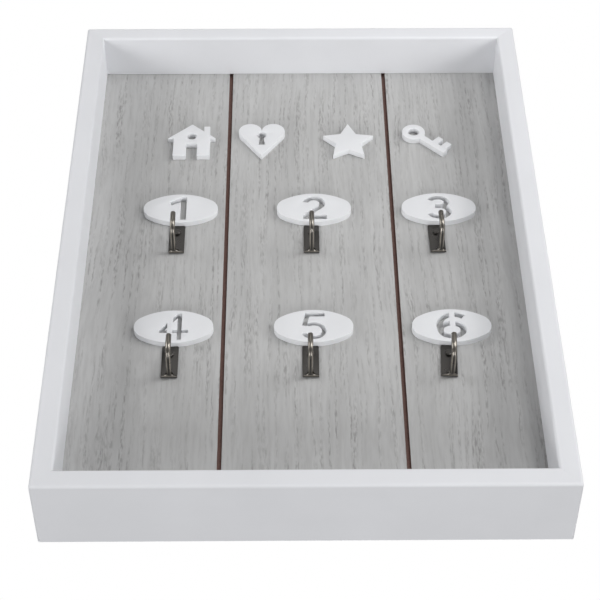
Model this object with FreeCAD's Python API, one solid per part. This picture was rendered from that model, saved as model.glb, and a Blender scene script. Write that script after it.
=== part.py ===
"""Wall key holder: a shallow painted box frame round a grooved wood board, with
six numbered oval plaques, a hook under each, and a row of cut-out ornaments.

Millimetres. The origin is the hanging point: the middle notch of the hanger,
taken to the wall. +X is right seen from the front, +Y goes into the wall, +Z is up.
The wall plane is Y = 0, and the whole holder stands out from it towards -Y.
"""
import math
import os

import FreeCAD
import Part

V = FreeCAD.Vector

# Box frame
box_width = 220.0
box_height = 300.0
box_depth = 36.0
rail_thickness = 9.0
front_arris = 1.2            # rounding of the painted front edges
corner_round = 1.0           # rounding of the four outer corners
corner_joint = 0.02          # glue line in each mitre

# Grooved board, housed in the rails
board_thickness = 5.0
back_recess = 8.0            # wall plane to the back of the board
housing_depth = 4.0          # how far the board reaches into a rail
housing_play = 0.3           # board edge short of the bottom of its housing
housing_clearance = 0.1      # on each face of the board
groove_width = 1.9
groove_depth = 1.8
left_groove_inset = 65.0     # inside of the left rail to the middle of the groove
right_groove_inset = 57.8

# Places of the pieces on the board, fixed by hand and so a little uneven
left_column_inset = 42.8     # inside of the left rail to the middle of its plaques
right_column_inset = 35.2
middle_column_shift = 5.0    # right of the middle of the box
middle_column_drift = 0.6    # the upper middle plaque sits this far right, the lower one left
right_column_drift = -0.4
first_row_drop = 115.8       # top of the box to the middle of the upper plaques
row_pitch = 78.0
ornament_row_drop = 65.4
house_place = 0.229          # shares of the open width, from the left rail
heart_place = 0.402
star_place = 0.616
key_place = 0.806

# Oval plaques and their cut-out numerals
plaque_width = 35.5
plaque_height = 19.8
plaque_thickness = 3.0
plaque_end_radius = 6.6      # ends of the oval; its long sides are flatter arcs
numeral_margin = 1.9         # left above and below a numeral
numeral_strokes = (2.8, 2.8, 2.6, 2.3, 2.2, 2.8)     # from the 1 to the 6, cut by hand
stencil_bridge = 2.4         # web that holds the middles of the 4 and the 6

# Ornaments
ornament_height = 24.0
ornament_thickness = 3.0
heart_width = 23.0
star_waist = 0.5             # inner radius over outer radius
key_length = 27.0
key_bow = 11.5               # outside of the ring at the key's end
key_shank = 3.4
key_bit = 4.6

# Hooks: one strip of sheet, flat above and rolled below
strip_width = 7.3
strip_gauge = 0.6
strip_corner = 0.6
plate_height = 18.7
nail_drop = 4.7              # top of the plate to the nail
plaque_to_plate = 0.1
fold_radius = 0.6            # inside of the fold at the foot of the plate
gather_length = 1.6          # over which the strip closes to the roll
arm_width = 2.4              # across the roll, which the tool leaves with narrow flats
roll_sides = 8
arm_reach = 17.0             # board to the outside of the arm
arm_bend = 5.4               # radius of the arm's middle line
arm_height = 11.5            # foot of the plate to the tip
seam_depth = 0.45

# How each hook was formed and nailed on by hand, from the upper left
hook_shifts = (-1.1, -1.4, -2.1, -0.9, -1.5, -2.1)   # sideways from the middle of its plaque
hook_leans = (0.0, 0.0, -1.3, 0.0, 0.0, 3.0)         # degrees, the plate on its nail
arm_shifts = (-1.1, 0.0, 1.2, 0.2, -0.2, 1.2)        # sideways from the middle of its plate

# Nails of the hooks and of the hanger
nail_head = 3.3
nail_head_rise = 1.0
nail_shank = 1.5
shank_sides = 12             # narrow flats of the shanks and of the holes they fill
nail_length = 4.0
nail_clearance = 0.05

# Sawtooth hanger in the recess behind the board
hanger_drop = 22.0           # top of the box to the hanging point
hanger_width = 42.0
hanger_height = 8.5
hanger_gauge = 0.7
hanger_rise = 3.0            # board to the raised middle
hanger_tab = 8.0             # flat end that takes a nail
hanger_ramp = 2.5
tooth_pitch = 3.0
tooth_depth = 1.6
tooth_count = 7

box_top = hanger_drop
box_bottom = box_top - box_height
box_middle = box_top - box_height / 2
board_face = -(back_recess + board_thickness)
nail_hole = nail_shank + 2 * nail_clearance
arm_depth = arm_width * math.cos(math.pi / roll_sides)
numeral_top = plaque_height / 2 - numeral_margin
inside_x = box_width / 2 - rail_thickness
left_groove_x = left_groove_inset - inside_x
right_groove_x = inside_x - right_groove_inset


def stand(flat, x, z):
    """Turn a piece cut flat in the XY plane upright, glued on the board at x, z."""
    piece = flat.copy()
    piece.rotate(V(0, 0, 0), V(1, 0, 0), 90)
    piece.translate(V(x, board_face, z))
    return piece


def plate_of(edges, thickness):
    """Flat piece with the given closed outline."""
    outline = Part.Wire(Part.sortEdges(edges)[0])
    return Part.Face(outline).extrude(V(0, 0, thickness))


def face_through(corners):
    return Part.Face(Part.makePolygon(corners + corners[:1]))


def polygon(points, thickness):
    return face_through([V(x, y, 0) for x, y in points]).extrude(V(0, 0, thickness))


def shank_bar(width, middle, run):
    """Bar along Y with the flats of a nail's shank, run millimetres long from its middle point."""
    radius = width / 2
    angles = [2 * math.pi * n / shank_sides for n in range(shank_sides)]
    corners = [middle + V(radius * math.cos(a), 0, radius * math.sin(a)) for a in angles]
    return face_through(corners).extrude(V(0, run, 0))


# Box frame

def between(x_half, y_front, y_back, z_low, z_high):
    return Part.makeBox(2 * x_half, y_back - y_front, z_high - z_low, V(-x_half, y_front, z_low))


def rim_edges(solid, y, x_half, z_half):
    """Edges of one rectangular outline in the plane of the given y."""
    found = []
    for edge in solid.Edges:
        box = edge.BoundBox
        flat = abs(box.YMin - y) < 1e-4 and abs(box.YMax - y) < 1e-4
        wide = max(abs(box.XMin), abs(box.XMax)) < x_half + 1e-3
        middle = box_middle
        high = max(abs(box.ZMin - middle), abs(box.ZMax - middle)) < z_half + 1e-3
        if flat and wide and high:
            found.append(edge)
    return found


def frame_ring():
    """The four rails as one ring, with rounded edges and a housing for the board."""
    half_x = box_width / 2
    half_z = box_height / 2
    outer = between(half_x, -box_depth, 0, box_bottom, box_top)
    corners = [e for e in outer.Edges if abs(e.BoundBox.YLength - box_depth) < 1e-4]
    outer = outer.makeFillet(corner_round, corners)
    outer = outer.makeFillet(front_arris, rim_edges(outer, -box_depth, half_x, half_z))

    inner_x = half_x - rail_thickness
    inner_z = half_z - rail_thickness
    low = box_bottom + rail_thickness
    high = box_top - rail_thickness
    opening = between(inner_x, -box_depth - 1, 1, low, high)
    ring = outer.cut(opening)
    ring = ring.makeFillet(front_arris, rim_edges(ring, -box_depth, inner_x, inner_z))
    housing = between(
        inner_x + housing_depth,
        board_face - housing_clearance,
        -back_recess + housing_clearance,
        low - housing_depth,
        high + housing_depth,
    )
    return ring.cut(housing)


def mitre_wedge(side):
    """Prism that holds one rail, bounded by the 45 degree lines of its two mitres."""
    reach = 2 * rail_thickness
    half_x = box_width / 2
    half_z = box_height / 2
    along, across = (half_x, half_z) if side in ("top", "bottom") else (half_z, half_x)
    slack = corner_joint / math.sqrt(2)
    outline = [
        (-along - reach + slack, across + reach),
        (along + reach - slack, across + reach),
        (along - reach - slack, across - reach),
        (-along + reach + slack, across - reach),
    ]
    wedge = polygon(outline, box_depth + 2)
    turn = {"top": 0, "left": 90, "bottom": 180, "right": 270}[side]
    wedge.rotate(V(0, 0, 0), V(0, 0, 1), turn)
    wedge.rotate(V(0, 0, 0), V(1, 0, 0), 90)
    wedge.translate(V(0, 1, box_middle))
    return wedge


def rails():
    ring = frame_ring()
    return {side + "_rail": ring.common(mitre_wedge(side)) for side in ("top", "bottom", "left", "right")}


# Board

def nail_holes(piece, spots, front):
    """Drill the board for nails that come in from its front or its back."""
    start = board_face if front else -back_recess
    depth = nail_length + nail_clearance
    for x, z in spots:
        piece = piece.cut(shank_bar(nail_hole, V(x, start, z), depth if front else -depth))
    return piece


def grooved_board():
    reach = housing_depth - housing_play
    half_x = box_width / 2 - rail_thickness + reach
    low = box_bottom + rail_thickness - reach
    high = box_top - rail_thickness + reach
    board = between(half_x, board_face, -back_recess, low, high)
    for x in (left_groove_x, right_groove_x):
        corner = V(x - groove_width / 2, board_face, low)
        board = board.cut(Part.makeBox(groove_width, groove_depth, high - low, corner))
    board = nail_holes(board, [(x, z) for x, z, lean in hook_spots()], True)
    return nail_holes(board, hanger_nail_spots(), False)


# Numerals, cut right through the plaques

def bar(start, end, breadth):
    """Straight stroke with square ends."""
    run = math.hypot(end[0] - start[0], end[1] - start[1])
    stroke = Part.makeBox(run, breadth, plaque_thickness + 2, V(0, -breadth / 2, -1))
    turn = math.degrees(math.atan2(end[1] - start[1], end[0] - start[0]))
    stroke.rotate(V(0, 0, 0), V(0, 0, 1), turn)
    stroke.translate(V(start[0], start[1], 0))
    return stroke


def bow(middle, half_width, half_height, start, end, breadth):
    """Curved stroke: an oval ring between two angles in degrees."""
    centre = V(middle[0], middle[1], -1)
    outer = Part.Ellipse(centre, half_width, half_height)
    inner = Part.Ellipse(centre, half_width - breadth, half_height - breadth)
    span = [math.radians(start), math.radians(end)]
    edges = [Part.ArcOfEllipse(curve, *span).toShape() for curve in (outer, inner)]
    for angle in span:
        edges.append(Part.LineSegment(outer.value(angle), inner.value(angle)).toShape())
    ring = Part.Face(Part.Wire(Part.sortEdges(edges)[0]))
    return ring.extrude(V(0, 0, plaque_thickness + 2))


def numeral_one(h, s):
    stem_x = 0.16 * h
    stem = bar((stem_x, -h), (stem_x, h), s)
    flag = bar((-0.61 * h, 0.42 * h), (stem_x, h - s / 2), 0.95 * s)
    return stem.fuse(flag)


def numeral_two(h, s):
    bowl_high = 0.62 * h
    bowl = bow((-0.01 * h, h - bowl_high), 0.69 * h, bowl_high, -38, 168, s)
    tail = bar((0.42 * h, 0.12 * h), (-0.5 * h, 0.96 * s - h), s)
    foot = bar((-0.65 * h, s / 2 - h), (0.75 * h, s / 2 - h), s)
    return bowl.fuse([tail, foot])


def numeral_three(h, s):
    upper = 0.54 * h
    lower = h - upper + s / 2
    level = 2 * lower - h - s / 2
    top = bow((-0.03 * h, h - upper), 0.68 * h, upper, -80, 158, s)
    bottom = bow((0, lower - h), 0.75 * h, lower, -160, 84, s)
    waist = bar((-0.2 * h, level), (0.18 * h, level), s)
    return top.fuse([bottom, waist])


def numeral_four(h, s):
    level = -0.37 * h
    stem_x = 0.33 * h
    stem = bar((stem_x, -h), (stem_x, h), 0.85 * s)
    slope = bar((0.28 * h, 0.93 * h), (-0.7 * h, level), 0.85 * s)
    cross = bar((-0.8 * h, level), (0.82 * h, level), 0.8 * s)
    gap = bar((-0.2 * h, -h), (-0.2 * h, 1.1 * h), stencil_bridge)
    return stem.fuse([slope, cross]).cut(gap)


def numeral_five(h, s):
    bowl_high = 0.64 * h
    top = bar((-0.45 * h, h - s / 2), (0.63 * h, h - s / 2), s)
    stem = bar((-0.33 * h, 0.94 * h), (-0.53 * h, 0.02 * h), s)
    bowl = bow((0, bowl_high - h), 0.71 * h, bowl_high, -158, 128, 0.9 * s)
    return top.fuse([stem, bowl])


def numeral_six(h, s):
    bowl_high = 0.66 * h
    sweep = bow((0.16 * h, -0.02 * h), 1.02 * h, 1.02 * h, 52, 196, s)
    right, left = [bow((0, bowl_high - h), 0.82 * h, bowl_high, start, start + 180, s) for start in (-90, 90)]
    gap = bar((0.06 * h, -1.1 * h), (0.06 * h, 1.1 * h), stencil_bridge)
    return sweep.fuse([right, left]).cut(gap)


NUMERALS = (numeral_one, numeral_two, numeral_three, numeral_four, numeral_five, numeral_six)


def oval():
    """Oval drawn from four centres, its end arcs running smoothly into the flatter side arcs."""
    end_x = plaque_width / 2 - plaque_end_radius
    rise = plaque_height / 2 - plaque_end_radius
    side_centre = (end_x ** 2 - rise ** 2) / (2 * rise)
    lean = math.atan2(end_x, side_centre)
    joint = V(math.sin(lean), math.cos(lean), 0) * plaque_end_radius + V(end_x, 0, 0)
    edges = []
    for sign in (1, -1):
        upper, lower = V(sign * joint.x, joint.y, 0), V(sign * joint.x, -joint.y, 0)
        edges.append(Part.Arc(upper, V(sign * plaque_width / 2, 0, 0), lower).toShape())
        left, right = V(-joint.x, sign * joint.y, 0), V(joint.x, sign * joint.y, 0)
        edges.append(Part.Arc(left, V(0, sign * plaque_height / 2, 0), right).toShape())
    return plate_of(edges, plaque_thickness)


def plaque(numeral, stroke):
    return oval().cut(numeral(numeral_top, stroke))


def plaque_spots():
    """Middle of each plaque, row by row from the upper left."""
    columns = (
        (left_column_inset - inside_x, 0.0),
        (middle_column_shift, middle_column_drift),
        (inside_x - right_column_inset, right_column_drift),
    )
    spots = []
    for row in (0, 1):
        z = box_top - first_row_drop - row * row_pitch
        for x, drift in columns:
            spots.append((x + (drift if row == 0 else -drift), z))
    return spots


# Ornaments

def house():
    half = ornament_height / 2
    eaves = 0.1 * half
    wall = 0.76 * half
    outline = [
        (0, half), (half, eaves), (wall, eaves), (wall, -half),
        (-wall, -half), (-wall, eaves), (-half, eaves),
    ]
    chimney = [(0.5 * half, 0), (0.75 * half, 0), (0.75 * half, 0.86 * half), (0.5 * half, 0.86 * half)]
    door = [(-0.23 * half, -half - 1), (0.23 * half, -half - 1), (0.23 * half, -0.25 * half),
            (-0.23 * half, -0.25 * half)]
    window = Part.makeCylinder(0.19 * half, ornament_thickness, V(0, 0.22 * half, 0))
    walls = polygon(outline, ornament_thickness).fuse(polygon(chimney, ornament_thickness))
    return walls.removeSplitter().cut(polygon(door, ornament_thickness).fuse(window))


def heart():
    """Two round lobes and the straight sides that touch them, with a keyhole."""
    half = ornament_height / 2
    lobe = heart_width / 4
    tip = V(0, -half, 0)
    middle = V(lobe, half - lobe, 0)
    reach = middle.distanceToPoint(tip)
    lean = math.atan2(middle.x, middle.y - tip.y) + math.asin(lobe / reach)
    side = math.sqrt(reach ** 2 - lobe ** 2)
    touch = V(side * math.sin(lean), tip.y + side * math.cos(lean), 0)
    edges = []
    for sign in (1, -1):
        notch, crown, end = [V(sign * p.x, p.y, 0) for p in (V(0, middle.y, 0), V(lobe, half, 0), touch)]
        edges.append(Part.Arc(notch, crown, end).toShape())
        edges.append(Part.LineSegment(end, tip).toShape())
    keyhole = Part.makeCylinder(0.2 * half, ornament_thickness, V(0, 0.28 * half, 0))
    slot = [(-0.08 * half, 0.2 * half), (0.08 * half, 0.2 * half),
            (0.14 * half, -0.33 * half), (-0.14 * half, -0.33 * half)]
    return plate_of(edges, ornament_thickness).cut(keyhole.fuse(polygon(slot, ornament_thickness)))


def star():
    """Five points, the lowest two on the line where the other ornaments stand."""
    radius = ornament_height / (1 + math.cos(math.radians(36)))
    lift = radius - ornament_height / 2
    points = []
    for step in range(10):
        angle = math.radians(90 + 36 * step)
        length = radius if step % 2 == 0 else radius * star_waist
        points.append((length * math.cos(angle), length * math.sin(angle) - lift))
    return polygon(points, ornament_thickness)


def key():
    """A small door key, its ring at the upper left and its bit at the lower right."""
    half = key_length / 2
    ring_y = half - key_bow / 2
    edge = key_shank / 2
    ring = Part.makeCylinder(key_bow / 2, ornament_thickness, V(0, ring_y, 0))
    hole = Part.makeCylinder(key_bow / 2 - key_shank * 0.9, ornament_thickness, V(0, ring_y, 0))
    shank = polygon([(-edge, -half), (edge, -half), (edge, ring_y), (-edge, ring_y)], ornament_thickness)
    body = ring.fuse(shank)
    for low in (0.05 * key_length, 0.25 * key_length):
        bit = Part.makeBox(edge + key_bit, 0.12 * key_length, ornament_thickness, V(0, low - half, 0))
        body = body.fuse(bit)
    body = body.removeSplitter().cut(hole)
    body.rotate(V(0, 0, 0), V(0, 0, 1), 45)
    return body


def ornaments():
    """The four ornaments, each with its place along the row."""
    return (
        ("house", house(), house_place),
        ("heart", heart(), heart_place),
        ("star", star(), star_place),
        ("key", key(), key_place),
    )


# Hooks

def roll_corners(x, y, foot):
    """Corners of the closed roll's section, counted round from the right end of its lower flat."""
    radius = arm_width / 2
    step = 360 / roll_sides
    middle = foot + arm_depth / 2
    angles = [math.radians(step / 2 - 90 + step * n) for n in range(roll_sides)]
    return [V(x + radius * math.cos(a), y, middle + radius * math.sin(a)) for a in angles]


def gather(x, start, foot):
    """The flat strip closing to the roll over flat facets, its underside staying level."""
    half = strip_width / 2
    roll = roll_corners(x, start - gather_length, foot)
    count = roll_sides // 2
    turn = (count - 1) // 2
    low = {side: V(side * half, start, foot) for side in (1, -1)}
    high = {side: V(side * half, start, foot + strip_gauge) for side in (1, -1)}
    facets = [
        [low[1], high[1], high[-1], low[-1]],
        roll,
        [low[-1], low[1], roll[0], roll[-1]],
        [high[1], high[-1], roll[count], roll[count - 1]],
    ]
    for side in (1, -1):
        flank = roll[:count] if side == 1 else roll[:count - 1:-1]
        facets.append([low[side], high[side], flank[turn]])
        for n in range(count - 1):
            corner = low[side] if n < turn else high[side]
            facets.append([corner, flank[n], flank[n + 1]])
    return Part.makeSolid(Part.makeShell([face_through(facet) for facet in facets]))


def rolled_arm(x, start, foot):
    """The roll with its open inner seam: out from the gather, round the bend, up to the tip."""
    corners = roll_corners(x, start, foot)
    corners.insert(roll_sides // 2, V(x, start, foot + arm_depth - seam_depth))
    section = face_through(corners)
    bend_y = arm_bend - (arm_reach - arm_depth / 2)
    centre = V(0, bend_y, foot + arm_depth / 2 + arm_bend)
    straight = section.extrude(V(0, bend_y - start, 0))
    section.translate(V(0, bend_y - start, 0))
    bend = section.revolve(centre, V(-1, 0, 0), 90)
    section.rotate(centre, V(-1, 0, 0), 90)
    rise = section.extrude(V(0, 0, arm_height - arm_depth / 2 - arm_bend))
    return straight.fuse([bend, rise])


def strip_plate(foot):
    """Flat upper part of the strip, down to the start of its fold, with its nail hole."""
    low = foot + fold_radius + strip_gauge
    high = foot + plate_height
    half = strip_width / 2
    outline = [
        (-half, low), (half, low), (half, high - strip_corner), (half - strip_corner, high),
        (strip_corner - half, high), (-half, high - strip_corner),
    ]
    plate = face_through([V(x, 0, z) for x, z in outline]).extrude(V(0, -strip_gauge, 0))
    return plate.cut(shank_bar(nail_hole, V(0, 0, 0), -strip_gauge))


def hook(arm_x):
    """One hook, the back of its plate on Y = 0 and its nail at the origin."""
    foot = nail_drop - plate_height
    fold_reach = fold_radius + strip_gauge
    half = strip_width / 2
    edge = face_through([
        V(-half, 0, foot + fold_reach), V(half, 0, foot + fold_reach),
        V(half, -strip_gauge, foot + fold_reach), V(-half, -strip_gauge, foot + fold_reach),
    ])
    fold = edge.revolve(V(0, -fold_reach, foot + fold_reach), V(-1, 0, 0), 90)
    gathered = gather(arm_x, -fold_reach, foot)
    arm = rolled_arm(arm_x, -fold_reach - gather_length, foot)
    return strip_plate(foot).fuse([fold, gathered, arm]).removeSplitter()


def hook_spots():
    """Nail of each hook on the board and the lean of its plate."""
    drop = plaque_height / 2 + plaque_to_plate + nail_drop
    placed = zip(plaque_spots(), hook_shifts, hook_leans)
    return [(x + shift, z - drop, lean) for (x, z), shift, lean in placed]


def hooks():
    """Six hooks on the board, each with its own lean and its arm in its own place."""
    placed = []
    for (x, z, lean), arm_x in zip(hook_spots(), arm_shifts):
        piece = hook(arm_x)
        piece.rotate(V(0, 0, 0), V(0, 1, 0), lean)
        piece.translate(V(x, board_face, z))
        placed.append(piece)
    return placed


# Nails

def nail():
    """Flat-headed nail pointing along +Y, the underside of its head on Y = 0."""
    head = Part.makeCylinder(nail_head / 2, nail_head_rise, V(0, 0, 0), V(0, -1, 0))
    return head.fuse(shank_bar(nail_shank, V(0, 0, 0), nail_length))


def hook_nails():
    nails = []
    for x, z, lean in hook_spots():
        piece = nail()
        piece.translate(V(x, board_face - strip_gauge, z))
        nails.append(piece)
    return Part.makeCompound(nails)


# Hanger, in the recess behind the board

def hanger_nail_spots():
    half = (hanger_width - hanger_tab) / 2
    middle = hanger_height / 2 - tooth_depth
    return [(-half, middle), (half, middle)]


def hanger():
    """Strip with two flat ends and a raised middle, its lower edge cut into teeth."""
    half = hanger_width / 2
    raised = half - hanger_tab - hanger_ramp
    line = [
        (-half, 0), (-half + hanger_tab, 0), (-raised, hanger_rise),
        (raised, hanger_rise), (half - hanger_tab, 0), (half, 0),
    ]
    back = [(x, y + hanger_gauge) for x, y in reversed(line)]
    corners = [V(x, y - back_recess, -tooth_depth) for x, y in line + back]
    strip = face_through(corners).extrude(V(0, 0, hanger_height))
    for step in range(tooth_count):
        x = (step - (tooth_count - 1) / 2) * tooth_pitch
        notch = [
            V(x - tooth_pitch / 2, -back_recess, -tooth_depth),
            V(x, -back_recess, 0),
            V(x + tooth_pitch / 2, -back_recess, -tooth_depth),
        ]
        strip = strip.cut(face_through(notch).extrude(V(0, back_recess, 0)))
    for x, z in hanger_nail_spots():
        strip = strip.cut(shank_bar(nail_hole, V(x, -back_recess, z), hanger_gauge))
    return strip


def hanger_nails():
    nails = []
    for x, z in hanger_nail_spots():
        piece = nail()
        piece.rotate(V(0, 0, 0), V(0, 0, 1), 180)
        piece.translate(V(x, hanger_gauge - back_recess, z))
        nails.append(piece)
    return Part.makeCompound(nails)


def pieces():
    """Every piece of the holder by name."""
    made = rails()
    made["back_panel"] = grooved_board()
    marked = zip(NUMERALS, numeral_strokes, plaque_spots())
    for number, (numeral, stroke, (x, z)) in enumerate(marked, start=1):
        made["plaque_" + str(number)] = stand(plaque(numeral, stroke), x, z)
    for name, shape, place in ornaments():
        x = inside_x * (2 * place - 1)
        made[name + "_ornament"] = stand(shape, x, box_top - ornament_row_drop)
    for number, piece in enumerate(hooks(), start=1):
        made["hook_" + str(number)] = piece
    made["hook_nails"] = hook_nails()
    made["hanger"] = hanger()
    made["hanger_nails"] = hanger_nails()
    return made


def main():
    os.makedirs("parts", exist_ok=True)
    for name, piece in pieces().items():
        piece.exportStep("parts/" + name + ".step")
        print(name, "solids", len(piece.Solids), "volume", round(piece.Volume, 1))


if __name__ == "__main__":
    main()
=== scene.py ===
# %% [markdown]
# # A wall key holder
# A shallow painted box frame hangs on a wall. It holds a grooved, grey-washed board
# with six numbered oval plaques, a rolled brass hook under each one, and a row of four
# cut-out ornaments.
#
# The CAD model fixes every size and place, so the first step is to load it. Each piece
# arrives as its own object, in metres, standing upright: X to the right, Y into the
# wall, Z up, with the hanging point at the origin.

# %% Load the part
import math

import bpy
from mathutils import Matrix, Vector


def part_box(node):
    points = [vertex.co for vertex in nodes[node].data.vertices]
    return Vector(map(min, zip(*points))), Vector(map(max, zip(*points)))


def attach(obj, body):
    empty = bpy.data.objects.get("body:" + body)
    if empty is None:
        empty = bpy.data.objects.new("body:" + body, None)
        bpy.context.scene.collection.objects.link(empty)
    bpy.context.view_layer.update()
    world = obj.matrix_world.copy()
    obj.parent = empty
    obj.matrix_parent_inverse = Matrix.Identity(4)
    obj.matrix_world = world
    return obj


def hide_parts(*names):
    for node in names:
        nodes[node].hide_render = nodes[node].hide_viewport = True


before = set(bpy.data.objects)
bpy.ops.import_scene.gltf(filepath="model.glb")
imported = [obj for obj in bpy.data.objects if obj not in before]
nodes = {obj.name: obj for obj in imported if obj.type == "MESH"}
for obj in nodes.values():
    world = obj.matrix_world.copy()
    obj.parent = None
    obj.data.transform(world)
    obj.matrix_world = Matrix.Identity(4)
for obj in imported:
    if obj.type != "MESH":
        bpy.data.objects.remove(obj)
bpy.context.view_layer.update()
MM = 0.001
print("loaded", len(nodes), "pieces")

# %% [markdown]
# ## Finishes
# A finish is a small network of nodes. A few helpers keep the networks short: one turns
# the hex colour of a paint chart into the linear colour that Blender calculates with,
# one adds a node with its settings and its links in a single call, and one starts a
# finish from its colour, its roughness and whether it is a metal.
#
# All patterns read the Object coordinates and are scaled from millimetres, so that they
# keep their real size whatever piece they lie on. A pattern without a depth runs
# straight through the piece, as the grain of a board does.

# %% Colour and node helpers
def paint(hex_code):
    """Linear colour of an sRGB hex code."""
    channels = [int(hex_code[i:i + 2], 16) / 255 for i in (1, 3, 5)]
    linear = [c / 12.92 if c <= 0.04045 else ((c + 0.055) / 1.055) ** 2.4 for c in channels]
    return (*linear, 1.0)


def add_node(tree, kind, inputs=None, **settings):
    """One node with its settings; an input is either a value or the socket that feeds it."""
    node = tree.nodes.new(kind)
    for name, value in settings.items():
        setattr(node, name, value)
    for name, value in (inputs or {}).items():
        if isinstance(value, bpy.types.NodeSocket):
            tree.links.new(value, node.inputs[name])
        else:
            node.inputs[name].default_value = value
    return node


def new_finish(name, hex_code, roughness, metallic=0.0):
    """A finish of one colour, with its node tree and its shader."""
    finish = bpy.data.materials.new(name)
    finish.use_nodes = True
    shader = finish.node_tree.nodes["Principled BSDF"]
    shader.inputs["Base Color"].default_value = paint(hex_code)
    shader.inputs["Roughness"].default_value = roughness
    shader.inputs["Metallic"].default_value = metallic
    finish.diffuse_color = paint(hex_code)
    return finish, finish.node_tree, shader


def spots(across, along, through=math.inf):
    """Scale of a noise whose spots measure this many millimetres in X, Z and Y."""
    return (1 / (across * MM), 1 / (through * MM), 1 / (along * MM))


print("mid grey is", round(paint("#808080")[0], 3), "in linear colour")

# %% [markdown]
# ### Satin white paint
# The rails are fibreboard, primed and sprayed with a water-based satin paint. Close up
# such a coat has a fine stipple and very slight changes of tone; from a step away it
# is an even, slightly cool white with a soft sheen. The stipple is drawn about a
# millimetre wide, coarser than the real one, so that it can show at all.

# %% Paint for the rails
def satin_paint(name, hex_code, roughness, stipple_mm, stipple_depth):
    finish, tree, shader = new_finish(name, hex_code, roughness)
    shader.inputs["IOR"].default_value = 1.47
    place = add_node(tree, "ShaderNodeTexCoord")
    fine = add_node(tree, "ShaderNodeMapping", {
        "Vector": place.outputs["Object"], "Scale": spots(stipple_mm, stipple_mm, stipple_mm)})
    stipple = add_node(tree, "ShaderNodeTexNoise", {
        "Vector": fine.outputs["Vector"], "Scale": 1.0, "Detail": 2.0, "Roughness": 0.5})
    bump = add_node(tree, "ShaderNodeBump", {
        "Height": stipple.outputs["Fac"], "Strength": 0.35, "Distance": stipple_depth * MM})
    tree.links.new(bump.outputs["Normal"], shader.inputs["Normal"])
    wide = add_node(tree, "ShaderNodeMapping", {
        "Vector": place.outputs["Object"], "Scale": spots(35, 60, 35)})
    cloud = add_node(tree, "ShaderNodeTexNoise", {
        "Vector": wide.outputs["Vector"], "Scale": 1.0, "Detail": 3.0})
    tone = add_node(tree, "ShaderNodeMapRange", {
        "Value": cloud.outputs["Fac"], "From Min": 0.3, "From Max": 0.7,
        "To Min": 0.975, "To Max": 1.015})
    tinted = add_node(tree, "ShaderNodeVectorMath", {
        0: paint(hex_code)[:3], "Scale": tone.outputs["Result"]}, operation="SCALE")
    tree.links.new(tinted.outputs["Vector"], shader.inputs["Base Color"])
    return finish


rail_paint = satin_paint("satin_white_paint_on_fibreboard", "#E6E7EA", 0.48, 1.1, 0.03)
plaque_paint = satin_paint("white_paint_on_cut_fibreboard", "#E8E9EB", 0.55, 0.7, 0.02)
print("paints:", rail_paint.name, plaque_paint.name)

# %% [markdown]
# ### Grey-washed board
# The board's face is an open-pored wood, ash or oak, washed with thinned grey paint.
# The wash settles unevenly: soft bands of tone run up the board, finer streaks lie in
# them, and the pores stay as short dark dashes. Each is a noise stretched along the
# grain. Pores lie in rows, so the dashes show only where a noise of long thin lines lets
# them through, and a cloudy one fills them with paint here and there. One more noise,
# slow but with finer waves on it, pushes all of it sideways, which bends the lines into
# long arches and makes them waver.

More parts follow.
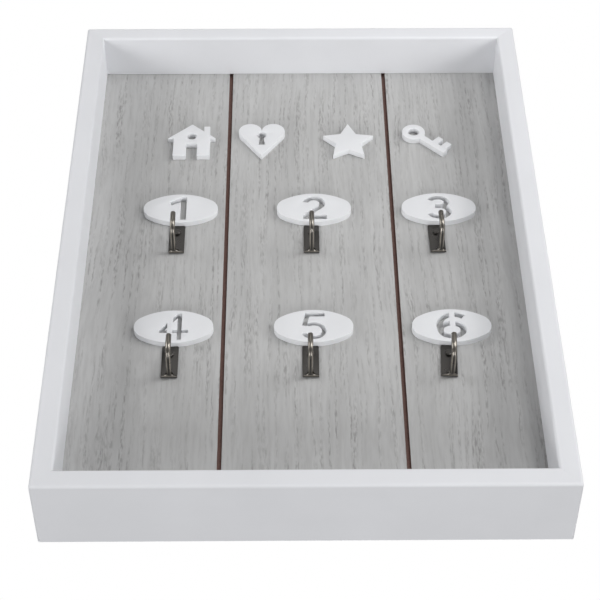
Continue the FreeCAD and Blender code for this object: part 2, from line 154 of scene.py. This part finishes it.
# %% Grey-washed wood
def washed_wood():
    finish, tree, shader = new_finish("grey_washed_open_pored_wood", "#B2B2B1", 0.6)
    place = add_node(tree, "ShaderNodeTexCoord")
    slow = add_node(tree, "ShaderNodeMapping", {
        "Vector": place.outputs["Object"], "Scale": spots(50, 130)})
    drift = add_node(tree, "ShaderNodeTexNoise", {
        "Vector": slow.outputs["Vector"], "Scale": 1.0, "Detail": 3.5, "Roughness": 0.45})
    furthest = 5 * MM
    sideways = add_node(tree, "ShaderNodeMapRange", {
        "Value": drift.outputs["Fac"], "To Min": -furthest, "To Max": furthest})
    push = add_node(tree, "ShaderNodeCombineXYZ", {"X": sideways.outputs["Result"]})
    arched = add_node(tree, "ShaderNodeVectorMath", {
        0: place.outputs["Object"], 1: push.outputs["Vector"]}, operation="ADD")

    # Name, size across and along in millimetres, detail, noise where it starts and is full
    patterns = (
        ("bands", 15, 80, 2.0, 0.3, 0.7),
        ("streaks", 1.7, 16, 3.0, 0.42, 0.72),
        ("lines", 2.0, 70, 1.5, 0.48, 0.62),
        ("dashes", 0.75, 4.2, 2.0, 0.44, 0.62),
        ("clouds", 24, 50, 1.0, 0.10, 0.60),
    )
    share = {}
    for name, across, along, detail, low, high in patterns:
        stretch = add_node(tree, "ShaderNodeMapping", {
            "Vector": arched.outputs["Vector"], "Scale": spots(across, along)})
        noise = add_node(tree, "ShaderNodeTexNoise", {
            "Vector": stretch.outputs["Vector"], "Scale": 1.0, "Detail": detail, "Roughness": 0.55})
        span = add_node(tree, "ShaderNodeMapRange", {
            "Value": noise.outputs["Fac"], "From Min": low, "From Max": high})
        share[name] = span.outputs["Result"]
    rows = add_node(tree, "ShaderNodeMath", {
        0: share["lines"], 1: share["dashes"]}, operation="MULTIPLY")
    pores = add_node(tree, "ShaderNodeMath", {
        0: rows.outputs["Value"], 1: share["clouds"]}, operation="MULTIPLY")
    share["pores"] = pores.outputs["Value"]

    # Each wash lies over the one before: pattern, greatest share, colour
    washes = (
        ("bands", 1.0, "#B7B7B6"),
        ("streaks", 0.5, "#A8A7A6"),
        ("pores", 0.55, "#757270"),
    )
    lightest = add_node(tree, "ShaderNodeRGB")
    lightest.outputs["Color"].default_value = paint("#C3C3C2")
    laid = lightest.outputs["Color"]
    for name, most, hex_code in washes:
        part = add_node(tree, "ShaderNodeMath", {0: share[name], 1: most}, operation="MULTIPLY")
        wash = add_node(tree, "ShaderNodeMix", {
            "Factor": part.outputs["Value"], "A": laid, "B": paint(hex_code)}, data_type="RGBA")
        laid = wash.outputs["Result"]
    tree.links.new(laid, shader.inputs["Base Color"])
    bump = add_node(tree, "ShaderNodeBump", {
        "Height": share["pores"], "Strength": 0.6, "Distance": 0.05 * MM}, invert=True)
    tree.links.new(bump.outputs["Normal"], shader.inputs["Normal"])
    return finish


board_face_finish = washed_wood()
print("board face:", board_face_finish.name)

# %% [markdown]
# ### Raw fibreboard
# Where a saw or a drill has gone through the grey face, the brown fibreboard under it
# shows: in the two grooves, on the hidden edges and on the unpainted back. Pressed
# fibres look like fine felt, a short mottle of two browns without any direction.

# %% Raw fibreboard
def raw_fibreboard(name, light, dark):
    finish, tree, shader = new_finish(name, light, 0.85)
    place = add_node(tree, "ShaderNodeTexCoord")
    felt = add_node(tree, "ShaderNodeMapping", {
        "Vector": place.outputs["Object"], "Scale": spots(0.9, 1.6, 0.9)})
    fibres = add_node(tree, "ShaderNodeTexNoise", {
        "Vector": felt.outputs["Vector"], "Scale": 1.0, "Detail": 4.0, "Roughness": 0.6})
    mottle = add_node(tree, "ShaderNodeMix", {
        "Factor": fibres.outputs["Fac"], "A": paint(light), "B": paint(dark)}, data_type="RGBA")
    tree.links.new(mottle.outputs["Result"], shader.inputs["Base Color"])
    bump = add_node(tree, "ShaderNodeBump", {
        "Height": fibres.outputs["Fac"], "Strength": 0.4, "Distance": 0.05 * MM})
    tree.links.new(bump.outputs["Normal"], shader.inputs["Normal"])
    return finish


groove_finish = raw_fibreboard("sawn_fibreboard_in_the_grooves", "#9D7E74", "#725A54")
back_finish = raw_fibreboard("raw_fibreboard_back", "#A98D6E", "#8C7153")
print("fibreboard:", groove_finish.name, back_finish.name)

# %% [markdown]
# ### Antique brass and zinc
# Antique brass is plated in brass, darkened in a bath and then tumbled, which rubs it
# back a little. What is left is dark and almost without colour. Pale, faintly warm
# metal is mixed in from an attribute that the hooks get when they are modelled, so it
# follows the shape and not the space round it. It is partly brass rubbed bare by the
# tumbler and partly painted highlights: lines of light where the arm mirrors the lamps,
# a sheen on the front of the tip and a line of light along the fold.
#
# The hanger behind the board is only zinc plated: a cool grey metal, slightly cloudy.

# %% Metals
def antique_brass():
    finish, tree, shader = new_finish("antique_brass_plate", "#555250", 0.3, 1.0)
    place = add_node(tree, "ShaderNodeTexCoord")
    patch = add_node(tree, "ShaderNodeMapping", {
        "Vector": place.outputs["Object"], "Scale": spots(3, 5, 3)})
    cloud = add_node(tree, "ShaderNodeTexNoise", {
        "Vector": patch.outputs["Vector"], "Scale": 1.0, "Detail": 3.0})
    patina = add_node(tree, "ShaderNodeMix", {
        "Factor": cloud.outputs["Fac"], "A": paint("#504E4C"), "B": paint("#595754")},
        data_type="RGBA")
    # Pale metal where the hooks' attribute says so: rubbed brass, and painted highlights where the
    # hooks mirror the lamps
    wear_and_highlight = add_node(tree, "ShaderNodeAttribute",
                    attribute_name="rubbed_and_highlit", attribute_type="GEOMETRY")
    rubbed_and_highlit = add_node(tree, "ShaderNodeMix", {
        "Factor": wear_and_highlight.outputs["Fac"], "A": patina.outputs["Result"], "B": paint("#D3CBBE")},
        data_type="RGBA")
    tree.links.new(rubbed_and_highlit.outputs["Result"], shader.inputs["Base Color"])
    gloss = add_node(tree, "ShaderNodeMapRange", {
        "Value": cloud.outputs["Fac"], "From Min": 0.3, "From Max": 0.7,
        "To Min": 0.27, "To Max": 0.33})
    tree.links.new(gloss.outputs["Result"], shader.inputs["Roughness"])
    return finish


def zinc_plate():
    finish, tree, shader = new_finish("zinc_plated_steel", "#B9BCBF", 0.36, 1.0)
    place = add_node(tree, "ShaderNodeTexCoord")
    patch = add_node(tree, "ShaderNodeMapping", {
        "Vector": place.outputs["Object"], "Scale": spots(4, 4, 4)})
    cloud = add_node(tree, "ShaderNodeTexNoise", {
        "Vector": patch.outputs["Vector"], "Scale": 1.0, "Detail": 2.0})
    gloss = add_node(tree, "ShaderNodeMapRange", {
        "Value": cloud.outputs["Fac"], "To Min": 0.28, "To Max": 0.46})
    tree.links.new(gloss.outputs["Result"], shader.inputs["Roughness"])
    return finish


brass_finish = antique_brass()
zinc_finish = zinc_plate()
print("metals:", brass_finish.name, zinc_finish.name)

# %% [markdown]
# ## Working copies
# The CAD meshes are triangles, right in shape but split wherever two faces of the solid
# meet. A copy whose points are merged can be shaded smoothly and can take a fine bevel.
# Paint never leaves a knife edge, so the rails, plaques and ornaments are all copied
# this way.
#
# Flat faces are dissolved first, because a bevel follows the true edges of the piece
# only when the triangles inside its faces are gone. The whole bevel is kept as narrow
# as the shortest edge of the piece asks for. The 1, the house, the star and the key
# take all of the arris. On the rails, the heart and the other plaques it comes out no
# wider than a hair, and on three of the rails it leaves slivers without any width,
# which are dissolved after it.

# %% A merged copy with softened edges
same_point = 0.0005 * MM      # points closer than this are one


def only(piece):
    """Make one object the only selected and the active one."""
    bpy.ops.object.select_all(action="DESELECT")
    piece.select_set(True)
    bpy.context.view_layer.objects.active = piece


def apply_modifier(piece, kind, **settings):
    only(piece)
    modifier = piece.modifiers.new(kind.lower(), kind)
    for name, value in settings.items():
        setattr(modifier, name, value)
    bpy.ops.object.modifier_apply(modifier=modifier.name)


def merged_copy(node_name, name):
    """Copy of a CAD piece with its points merged and its flat faces whole."""
    piece = nodes[node_name].copy()
    piece.data = nodes[node_name].data.copy()
    piece.name = name
    piece.parent = None
    bpy.context.scene.collection.objects.link(piece)
    only(piece)
    bpy.ops.mesh.customdata_custom_splitnormals_clear()
    bpy.ops.object.mode_set(mode="EDIT")
    bpy.ops.mesh.select_all(action="SELECT")
    bpy.ops.mesh.remove_doubles(threshold=same_point)
    bpy.ops.mesh.dissolve_limited(angle_limit=math.radians(0.5))
    bpy.ops.object.mode_set(mode="OBJECT")
    return piece


def dress(piece, finish, slot_name, *replaced):
    """Give a piece its finish and its body, and hide the CAD pieces that it stands for; slot_name
    is not used.
    """
    piece.data.materials.clear()
    piece.data.materials.append(finish)
    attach(piece, "root")
    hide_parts(*replaced)


def softened_copy(node_name, name, arris, finish, slot_name):
    """Dressed copy of a CAD piece, bevelled by the arris or as far as it has room."""
    piece = merged_copy(node_name, name)
    apply_modifier(piece, "BEVEL", width=arris, segments=3, limit_method="ANGLE",
                   angle_limit=math.radians(40))
    bpy.ops.object.mode_set(mode="EDIT")
    bpy.ops.mesh.select_all(action="SELECT")
    bpy.ops.mesh.dissolve_degenerate(threshold=same_point)
    bpy.ops.object.mode_set(mode="OBJECT")
    bpy.ops.object.shade_smooth_by_angle(angle=math.radians(35))
    dress(piece, finish, slot_name, node_name)
    print(name, len(piece.data.polygons), "faces")
    return piece


# %% [markdown]
# ## Rails
# Four rails, mitred and glued. The paint is sprayed over the finished frame, so it
# fills the joints. The rounding that shows, along the front edges and down the outer
# corners, is in the CAD meshes already.

# %% Rails
rail_arris = 0.3 * MM         # at most
for side in ("top", "bottom", "left", "right"):
    softened_copy(side + "_rail", side + "_rail_painted", rail_arris, rail_paint, "white_paint")

# %% [markdown]
# ## Board
# The board keeps its CAD mesh. Which finish a face gets follows from where it lies:
# the front plane is grey-washed, the back plane is bare, and everything that a saw or
# drill has cut, from the grooves to the edges, shows the darker core.

# %% Board
board = nodes["back_panel"]
board_low, board_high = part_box("back_panel")
board_front = board_low.y
board_back = board_high.y
face_tolerance = 0.01 * MM
board_finishes = {"front": board_face_finish, "cut": groove_finish, "back": back_finish}
board.data.materials.clear()
for finish in board_finishes.values():
    board.data.materials.append(finish)
face_counts = dict.fromkeys(board_finishes, 0)
for polygon in board.data.polygons:
    reach = [board.data.vertices[index].co.y for index in polygon.vertices]
    if max(reach) < board_front + face_tolerance:
        lies = "front"
    elif min(reach) > board_back - face_tolerance:
        lies = "back"
    else:
        lies = "cut"
    polygon.material_index = list(board_finishes).index(lies)
    face_counts[lies] += 1
print("board front at", round(board_front / MM, 2), "mm, faces", face_counts)

# %% [markdown]
# ## Plaques and ornaments
# All ten are cut from the same thin board and painted before they are glued on. Their
# arris is a third of a millimetre at most, and runs round the numerals too. The heart
# and all the numerals but the 1 have short edges, which leave room for much less of it.

# %% Plaques and ornaments
plaque_arris = 0.3 * MM       # at most
for number in range(1, 7):
    softened_copy("plaque_%d" % number, "plaque_%d_painted" % number, plaque_arris,
                  plaque_paint, "white_plaque")
for shape in ("house", "heart", "star", "key"):
    softened_copy(shape + "_ornament", shape + "_ornament_painted", plaque_arris,
                  plaque_paint, "white_plaque")

# %% [markdown]
# ## Hooks
# Each hook is one strip of sheet brass, 0.6 mm thick. Its upper part stays flat and
# takes a nail. Below a tight fold the strip is gathered and rolled into a slim tube,
# which runs out and bends up. A cast or turned hook would be solid; this one shows a
# seam along its inside and a hollow tip.
#
# It is modelled in the order in which the tool forms it. First the arm: a flat blank,
# tapered, and rolled by a Simple Deform bend, whose strength is faded in over the
# gather by a vertex group. The blank stands upright, because that modifier rolls what
# lies along X round the Z axis. Then it is laid down, and its open end is spun round
# the bend and drawn up to the tip.

# %% Sizes of the hook
strip_width = 7.3 * MM
strip_gauge = 0.6 * MM
plate_height = 18.7 * MM
nail_drop = 4.7 * MM
strip_corner = 0.6 * MM
fold_radius = 0.9 * MM        # middle of the sheet
gather_length = 1.6 * MM
roll_radius = 0.9 * MM        # middle of the sheet
roll_gap = 0.45 * MM          # open seam
arm_reach = 17.0 * MM
arm_bend = 5.4 * MM
arm_height = 11.5 * MM
half_gauge = strip_gauge / 2
foot = nail_drop - plate_height
fold_end = -fold_radius - half_gauge                    # where the strip leaves the fold
rolled_width = 2 * math.pi * roll_radius - roll_gap
strip_columns = 20            # faces across the strip
print("foot", round(foot / MM, 2), "mm from the nail, rolled part cut",
      round(rolled_width / MM, 2), "mm wide")


# %% Selecting and measuring by place
point_tolerance = 0.02 * MM


def select_points(piece, test):
    """Select the points that pass a test on their place, and stay in edit mode."""
    bpy.ops.object.mode_set(mode="EDIT")
    bpy.ops.mesh.select_mode(type="VERT")
    bpy.ops.mesh.select_all(action="DESELECT")
    bpy.ops.object.mode_set(mode="OBJECT")
    for point in piece.data.vertices:
        point.select = test(point.co)
    bpy.ops.object.mode_set(mode="EDIT")


def near(value, goal):
    return abs(value - goal) < point_tolerance


def part_of(distance, run):
    """How much of a run has been covered, from 0 to 1."""
    return min(1, max(0, distance / run))


print("halfway along the gather:", part_of(gather_length / 2, gather_length))

# %% [markdown]
# ### The blank of the arm
# A grid as wide as the strip is tapered row by row over the gather. The bend is set so
# that the narrow end closes to the tube with its seam left open. The wide end has no
# weight in the vertex group, so it stays flat and will meet the plate.

# %% Blank of the arm, rolled
blank_rows = 40               # faces along the blank
roll_delay = 1.5              # power by which the roll starts later than the taper


def arm_blank():
    """Upright blank from the fold to the bend, flat at its foot and rolled above."""
    length = arm_reach - roll_radius - half_gauge - arm_bend + fold_end
    bpy.ops.object.select_all(action="DESELECT")
    bpy.ops.mesh.primitive_grid_add(
        x_subdivisions=strip_columns, y_subdivisions=blank_rows, size=1.0, location=(0, 0, 0))
    blank = bpy.context.object
    bpy.ops.object.mode_set(mode="EDIT")
    bpy.ops.transform.resize(value=(strip_width, length, 1))
    bpy.ops.transform.rotate(value=math.radians(-90), orient_axis="X", center_override=(0, 0, 0))
    bpy.ops.object.mode_set(mode="OBJECT")
    lowest = min(point.co.z for point in blank.data.vertices)
    group = blank.vertex_groups.new(name="rolled")
    for point in blank.data.vertices:
        point.co.z -= lowest
        share = part_of(point.co.z, gather_length)
        eased = share * share * (3 - 2 * share)
        point.co.x *= 1 + (rolled_width / strip_width - 1) * eased
        group.add([point.index], share ** roll_delay, "REPLACE")
    apply_modifier(blank, "SIMPLE_DEFORM", deform_method="BEND", deform_axis="Z",
                   angle=strip_width / roll_radius, vertex_group="rolled")
    return blank


arm = arm_blank()
print("rolled blank", [round(value / MM, 2) for value in arm.dimensions], "mm")

# %% [markdown]
# ### Laying the arm down and bending it up
# The rolled blank is turned to point away from the wall, with its seam on top. The
# spin tool then carries the open end round a quarter circle, as the forming tool does
# round its mandrel, and one extrusion draws it up to the tip.

# %% Arm, bent up to its tip
bend_steps = 14


def lay_down(blank):
    """Turn the upright blank to point away from the wall, its seam facing up."""
    only(blank)
    bpy.ops.object.mode_set(mode="EDIT")
    bpy.ops.mesh.select_all(action="SELECT")
    bpy.ops.transform.rotate(value=math.radians(-90), orient_axis="X", center_override=(0, 0, 0))
    bpy.ops.transform.translate(value=(0, fold_end, foot + half_gauge))
    bpy.ops.object.mode_set(mode="OBJECT")


def bend_up(blank):
    """Spin the open end a quarter turn upwards and draw it out to the tip."""
    end = min(point.co.y for point in blank.data.vertices)
    centre = (0, end, foot + half_gauge + roll_radius + arm_bend)
    select_points(blank, lambda co: near(co.y, end))
    bpy.ops.mesh.spin(
        steps=bend_steps, angle=math.radians(90), center=centre, axis=(1, 0, 0))
    rise = arm_height + foot - centre[2]
    bpy.ops.mesh.extrude_region_move(TRANSFORM_OT_translate={"value": (0, 0, rise)})
    bpy.ops.object.mode_set(mode="OBJECT")


lay_down(arm)
bend_up(arm)
furthest = min(point.co.y for point in arm.data.vertices)
print("arm reaches", round(-furthest / MM, 2), "mm, to the middle of its sheet")

# %% [markdown]
# ### The plate
# The plate is one face with its two upper corners cut round. Its lower edge is divided
# into as many faces as the arm has, so that the two parts can be merged point by point,
# and is spun a quarter turn outwards for the fold.

# %% Plate and fold
fold_steps = 8


def folded_plate():
    """Flat plate hanging from the nail, with a quarter turn outwards at its foot."""
    low = foot + fold_radius + half_gauge
    high = foot + plate_height
    bpy.ops.object.select_all(action="DESELECT")
    bpy.ops.mesh.primitive_plane_add(size=1.0, location=(0, 0, 0))
    plate = bpy.context.object
    bpy.ops.object.mode_set(mode="EDIT")
    bpy.ops.transform.resize(value=(strip_width, high - low, 1))
    bpy.ops.transform.rotate(value=math.radians(-90), orient_axis="X", center_override=(0, 0, 0))
    bpy.ops.transform.translate(value=(0, -half_gauge, (high + low) / 2))
    select_points(plate, lambda co: near(co.z, high))
    bpy.ops.mesh.bevel(affect="VERTICES", offset=strip_corner, segments=4)
    select_points(plate, lambda co: near(co.z, low))
    bpy.ops.mesh.subdivide(number_cuts=strip_columns - 1)
    select_points(plate, lambda co: near(co.z, low))
    bpy.ops.mesh.spin(
        steps=fold_steps, angle=math.radians(90), center=(0, fold_end, low), axis=(1, 0, 0))
    bpy.ops.object.mode_set(mode="OBJECT")
    return plate


plate = folded_plate()
lowest = min(point.co.z for point in plate.data.vertices)
print("fold ends", round((lowest - foot) / MM, 2), "mm above the foot")

# %% [markdown]
# ### One sheet, with its thickness
# The plate and the arm are joined and their common edge is merged. Only now does the
# sheet get its thickness, half of it to each side, so that the roll comes out 2.4 mm
# thick round a hollow 1.2 mm wide. A bevel takes the sharpness off the edges that the
# shears left, and the many short edges of the sheet keep it under a hundredth of a
# millimetre.
#
# An attribute marks two lines along the arm's underside and, more faintly, a line
# across the strip just past its fold and the front of the upturned end. Where it goes
# follows which way each point faces: the two lines are rubbed brass and painted
# reflections of the lamps at once, the line across the fold is a painted highlight and
# the front of the tip a painted sheen. A small attribute like this costs nothing and
# stays on the metal however the hook is turned.

# %% Join and thicken
seam_weld = 0.01 * MM
shear_arris = 0.09 * MM       # at most


def whole_hook(plate, arm):
    """The plate and the arm as one hook of sheet, its nail hole at the origin."""
    only(plate)
    arm.select_set(True)
    bpy.ops.object.join()
    bpy.ops.object.mode_set(mode="EDIT")
    bpy.ops.mesh.select_all(action="SELECT")
    bpy.ops.mesh.remove_doubles(threshold=seam_weld)
    bpy.ops.mesh.normals_make_consistent(inside=False)
    bpy.ops.object.mode_set(mode="OBJECT")
    apply_modifier(plate, "SOLIDIFY", thickness=strip_gauge, offset=0, use_even_offset=True)
    apply_modifier(plate, "BEVEL", width=shear_arris, segments=2, limit_method="ANGLE",
                   angle_limit=math.radians(60))
    bpy.ops.object.shade_smooth_by_angle(angle=math.radians(45))
    plate.vertex_groups.clear()
    return plate


hook_pattern = whole_hook(plate, arm)
print("hook", len(hook_pattern.data.polygons), "faces,",
      [round(value / MM, 2) for value in hook_pattern.dimensions], "mm")

# %% Mark the rubbed places and the painted highlights
lines_grow = 6.0 * MM         # from the fold to where the lines are full
turn_run = 3.0 * MM           # height over which the lines give way to the front
line_slant = 0.6              # sideways part of the normal along the middle of a line
line_spread = 0.3             # and how much more or less of it ends the line
# painted sheen on the front of the upturned end, and painted highlight along the fold
front_sheen = 0.4
fold_highlight = 0.5
fold_line = 0.4 * MM          # from the fold to the middle of the line across
fold_line_reach = 0.6 * MM    # and from there to where it ends


def mark_rubbed_and_highlit(piece):
    """Wear and painted highlight of each point, from 0 to 1."""
    wear_and_highlight = piece.data.attributes.new("rubbed_and_highlit", "FLOAT", "POINT")
    for point in piece.data.vertices:
        # Each share follows the way the point faces: the lines are rubbed brass and painted
        # reflections, the fold line a painted highlight, the tip's front a painted sheen
        outwards = part_of(fold_end - point.co.y, lines_grow)
        upturned = part_of(point.co.z - foot - half_gauge, turn_run)
        lines = max(0, 1 - abs(abs(point.normal.x) - line_slant) / line_spread)
        front = front_sheen * max(0, -point.normal.y)
        from_line = abs(fold_end - fold_line - point.co.y)
        fold = fold_highlight * max(0, 1 - from_line / fold_line_reach) * max(0, -point.normal.z)
        wear_and_highlight.data[point.index].value = max(
            fold, outwards * ((1 - upturned) * lines + upturned * front))


mark_rubbed_and_highlit(hook_pattern)
wear_and_highlight_values = [entry.value for entry in hook_pattern.data.attributes["rubbed_and_highlit"].data]
print("rubbed on average", round(sum(wear_and_highlight_values) / len(wear_and_highlight_values), 3))

# %% [markdown]
# ### Six hooks and their nails
# Each hook hangs just under its plaque, a little left of its middle, and two of them
# lean, because they were nailed on by hand. Their arms weren't all rolled in the middle
# of the strip either: beyond the gather each arm is slid aside, and the gather slants to
# meet it. Every copy gets its own mesh, moved to its place there, so that its object
# stays at the origin as the CAD pieces do.
#
# The nail is a low cylinder whose front rim is bevelled wide to a crown; its shank is
# drawn out of the back, through the plate and into the board.

# %% Nail
nail_head = 3.3 * MM
nail_head_rise = 1.0 * MM
nail_crown = 0.55 * MM        # how far the front rim is bevelled
nail_shank = 1.5 * MM
nail_length = 4.0 * MM


def nail():
    """Nail pointing along +Y, the underside of its head on Y = 0."""
    bpy.ops.object.select_all(action="DESELECT")
    bpy.ops.mesh.primitive_cylinder_add(
        vertices=32, radius=nail_head / 2, depth=nail_head_rise, location=(0, 0, 0))
    piece = bpy.context.object
    bpy.ops.object.mode_set(mode="EDIT")
    bpy.ops.transform.rotate(value=math.radians(90), orient_axis="X", center_override=(0, 0, 0))
    bpy.ops.transform.translate(value=(0, -nail_head_rise / 2, 0))
    select_points(piece, lambda co: near(co.y, -nail_head_rise))
    bpy.ops.mesh.bevel(offset=nail_crown, segments=4, profile=0.6)
    select_points(piece, lambda co: near(co.y, 0))
    bpy.ops.mesh.inset(thickness=(nail_head - nail_shank) / 2)
    bpy.ops.mesh.extrude_region_move(TRANSFORM_OT_translate={"value": (0, nail_length, 0)})
    bpy.ops.object.mode_set(mode="OBJECT")
    bpy.ops.object.shade_smooth_by_angle(angle=math.radians(40))
    return piece


nail_pattern = nail()
print("nail", [round(value / MM, 2) for value in nail_pattern.dimensions], "mm")

# %% Hooks and nails in their places
plaque_to_plate = 0.1 * MM
hook_shifts = (-1.1, -1.4, -2.1, -0.9, -1.5, -2.1)    # mm from the middle of its plaque
hook_leans = (0.0, 0.0, -1.3, 0.0, 0.0, 3.0)          # degrees, the plate on its nail
arm_shifts = (-1.1, 0.0, 1.2, 0.2, -0.2, 1.2)         # mm from the middle of its plate


def own_copy(pattern, name):
    """Copy of a pattern with a mesh of its own, still at the origin."""
    piece = bpy.data.objects.new(name, pattern.data.copy())
    bpy.context.scene.collection.objects.link(piece)
    return piece


def set_arm_aside(piece, distance):
    """Slide the arm of a hook sideways while the hook is still at the origin."""
    for point in piece.data.vertices:
        point.co.x += distance * part_of(fold_end - point.co.y, gather_length)


for number, shift, lean, aside in zip(range(1, 7), hook_shifts, hook_leans, arm_shifts):
    plaque_low, plaque_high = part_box("plaque_%d" % number)
    x = (plaque_low.x + plaque_high.x) / 2 + shift * MM
    z = plaque_low.z - plaque_to_plate - nail_drop
    hook = own_copy(hook_pattern, "hook_%d_rolled" % number)
    set_arm_aside(hook, aside * MM)
    hook.data.transform(Matrix.Translation((x, board_front, z))
                        @ Matrix.Rotation(math.radians(lean), 4, "Y"))
    dress(hook, brass_finish, "antique_brass", "hook_%d" % number)
    nail_here = own_copy(nail_pattern, "hook_nail_%d" % number)
    nail_here.data.transform(Matrix.Translation((x, board_front - strip_gauge, z)))
    dress(nail_here, brass_finish, "antique_brass", "hook_nails")
    print("hook", number, "nailed at", [round(value / MM, 1) for value in (x, z)], "mm")

# %% [markdown]
# ## Hanger
# Behind the board sits a toothed strip of thin steel, its middle pressed out so that a
# wall nail fits behind it. It is punched from sheet, so its copy gets only the
# faintest bevel. Two of the same nails hold it, and turned about they point the other
# way.

# %% Hanger and its nails
hanger_arris = 0.08 * MM
softened_copy("hanger", "toothed_hanger", hanger_arris, zinc_finish, "plated_steel")
nails_low, nails_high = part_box("hanger_nails")
half_turn = Matrix.Rotation(math.pi, 4, "Z")
for direction, side in ((-1, "left"), (1, "right")):
    x = direction * (nails_high.x - nail_head / 2)
    y = nails_high.y - nail_head_rise
    z = (nails_low.z + nails_high.z) / 2
    hanger_nail = own_copy(nail_pattern, "hanger_nail_" + side)
    hanger_nail.data.transform(Matrix.Translation((x, y, z)) @ half_turn)
    dress(hanger_nail, zinc_finish, "plated_steel", "hanger_nails")
    print(side, "nail at", [round(value / MM, 1) for value in (x, z)], "mm")
for pattern in (hook_pattern, nail_pattern):
    bpy.data.objects.remove(pattern)

# %% [markdown]
# ## Studio
# The holder is seen from in front and well below, at about 45 degrees, through a long lens,
# so its lower rail comes nearest. The light is that of a bright white room, which is
# built up from several weak, wide lamps instead of one strong one:
#
# - two wide lamps far below light the underside of the frame, and they stand well apart,
#   so that each hook's arm mirrors them as two lines
# - lamps on the right, on the left and in front light the face, the nearer ones unevenly,
#   which makes the tone of the board fall off towards its corners
# - a dim lamp high in front is there only to be mirrored by the plates of the hooks
# - one lamp above and behind reaches nothing of the front, but shows the back and the top
#   to whoever walks round the piece
#
# No strong lamp stands above the top rail in front, because the rail's shadow would
# darken the top of the board. The floor lies far below to leave room for the low lamps.
#
# The room is a world that lights the piece with a fifth of what it shows, so the
# background is pure white and the paint still reads as paint. The floor does the same:
# seen directly it is pale, while the light it throws back is only what falls on it.

# %% Camera
middle = (board_low + board_high) / 2
camera_data = bpy.data.cameras.new("camera")
camera_data.sensor_width = 36
camera_data.lens = 102.1
camera = bpy.data.objects.new("camera", camera_data)
bpy.context.scene.collection.objects.link(camera)
view_from = Vector((-6.64, -568.24, -694.93)) * MM
view_along = Vector((0.0066, 0.7154, 0.6986)).normalized()
view_up = Vector((0.0045, -0.6987, 0.7154)).normalized()
view_right = view_along.cross(view_up).normalized()
view_up = view_right.cross(view_along)
camera.matrix_world = Matrix((
    (view_right.x, view_up.x, -view_along.x, view_from.x),
    (view_right.y, view_up.y, -view_along.y, view_from.y),
    (view_right.z, view_up.z, -view_along.z, view_from.z),
    (0, 0, 0, 1),
))
bpy.context.scene.camera = camera
print("camera stands", round((view_from - middle).length, 3), "m away")

# %% Lamps
def soft_lamp(name, place, aim, width, power):
    data = bpy.data.lights.new(name, "AREA")
    data.shape = "DISK"
    data.size = width
    data.energy = power
    lamp = bpy.data.objects.new(name, data)
    bpy.context.scene.collection.objects.link(lamp)
    lamp.location = place
    lamp.rotation_euler = (aim - place).to_track_quat("-Z", "Y").to_euler()


lamp_plan = (
    # Name, place from the middle of the board in metres, width in metres, watts
    ("low_left_lamp", (-1.5, -0.8, -2.3), 1.0, 26.4),
    ("low_right_lamp", (1.5, -0.8, -2.3), 1.0, 26.4),
    ("right_lamp", (0.7, -0.5, 0.15), 0.5, 2.9),
    ("left_lamp", (-0.9, -0.45, 0.25), 0.6, 3.3),
    ("front_lamp", (0.5, -1.3, 0.1), 0.4, 4.2),
    ("high_lamp", (0.0, -1.5, 1.5), 1.0, 2.0),
    ("back_lamp", (0.5, 1.4, 1.0), 0.8, 20.0),
)
for name, place, width, power in lamp_plan:
    soft_lamp(name, middle + Vector(place), middle, width, power)
    print(name, power, "W")

# %% Floor and room
floor_level = -3.6            # metres, well under the low lamps
floor_size = 40.0             # metres, so that its edge is never near
bpy.ops.object.select_all(action="DESELECT")
bpy.ops.mesh.primitive_plane_add(size=floor_size, location=(0, 0, floor_level))
floor = bpy.context.object
floor.name = "floor"
floor_finish, floor_tree, floor_shader = new_finish("pale_studio_floor", "#F0F0F0", 0.9)
pale = add_node(floor_tree, "ShaderNodeEmission", {"Color": paint("#F0F0F0"), "Strength": 1.0})
ray = add_node(floor_tree, "ShaderNodeLightPath")
shown = add_node(floor_tree, "ShaderNodeMixShader", {
    0: ray.outputs["Is Camera Ray"], 1: floor_shader.outputs["BSDF"], 2: pale.outputs["Emission"]})
floor_tree.links.new(shown.outputs["Shader"], floor_tree.nodes["Material Output"].inputs["Surface"])
floor.data.materials.append(floor_finish)

world = bpy.data.worlds.new("white_room")
bpy.context.scene.world = world
world.use_nodes = True
room = world.node_tree
room.nodes.clear()
seen = add_node(room, "ShaderNodeBackground", {"Color": paint("#FFFFFF"), "Strength": 1.0})
shed = add_node(room, "ShaderNodeBackground", {"Color": paint("#FCFCFF"), "Strength": 0.2})
ray = add_node(room, "ShaderNodeLightPath")
which = add_node(room, "ShaderNodeMixShader", {
    0: ray.outputs["Is Camera Ray"], 1: shed.outputs["Background"], 2: seen.outputs["Background"]})
add_node(room, "ShaderNodeOutputWorld", {"Surface": which.outputs["Shader"]})
bpy.context.scene.view_settings.view_transform = "Standard"
print("floor", round(middle.z - floor_level, 2), "m below the middle of the board")
